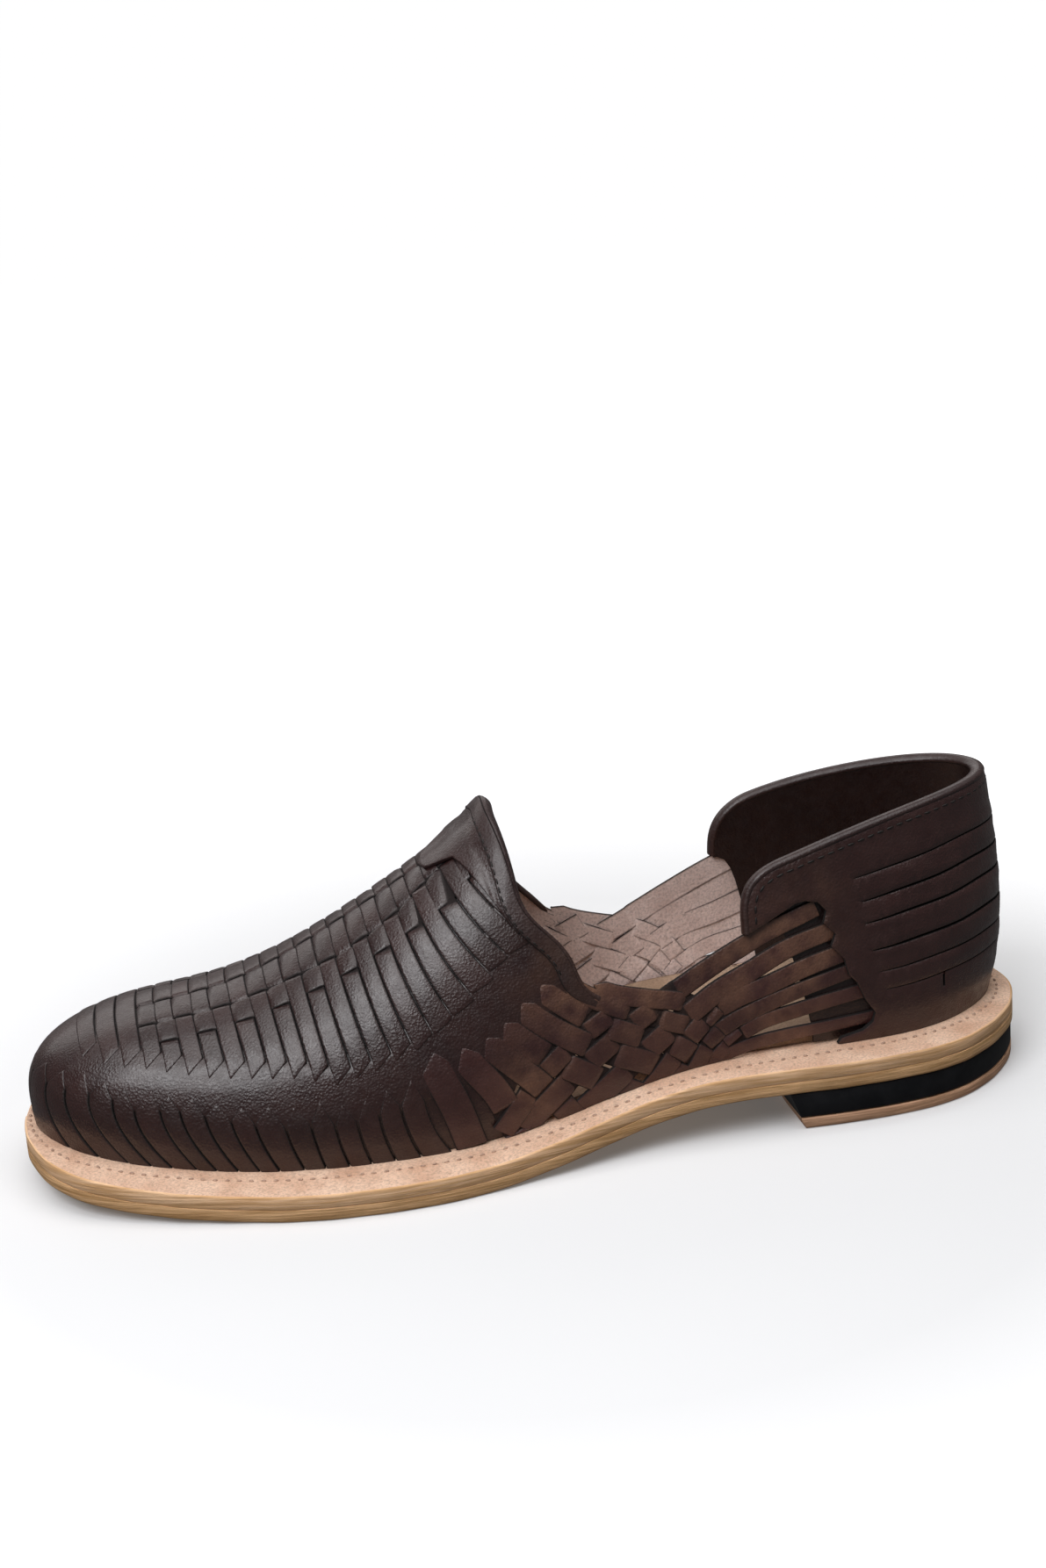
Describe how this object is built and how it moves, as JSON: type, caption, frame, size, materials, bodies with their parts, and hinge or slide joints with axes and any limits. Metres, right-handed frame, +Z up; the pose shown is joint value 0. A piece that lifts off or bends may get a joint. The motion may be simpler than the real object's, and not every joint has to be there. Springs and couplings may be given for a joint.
{
  "type": "huarache shoe",
  "caption": "Closed-toe woven leather huarache shoe, a slip-on with open strap sides, a standing heel counter, stitched flanged leather sole and low stacked heel.",
  "frame": {"origin": "middle of the bounding box in plan, on the floor that the heel and the forefoot stand on", "axes": "+X to the toe, +Y to the outer (lateral) side of the left foot, +Z up"},
  "size_m": [0.2716, 0.1052, 0.088],
  "materials": {
    "dark_leather": "waxed satin",
    "flange_leather": "raw, natural",
    "sole_leather": "sanded edge",
    "natural_lining": "undyed suede",
    "heel_rubber": "matte",
    "heel_leather": "raw, natural"
  },
  "bodies": {
    "root": {"outsole": "sole_leather", "midsole": "flange_leather", "insole": "natural_lining", "upper": "dark_leather", "throat_tab": "dark_leather", "heel_counter": "dark_leather", "heel_lift": "heel_rubber", "heel_top_piece": "heel_leather"}
  },
  "joints": []
}
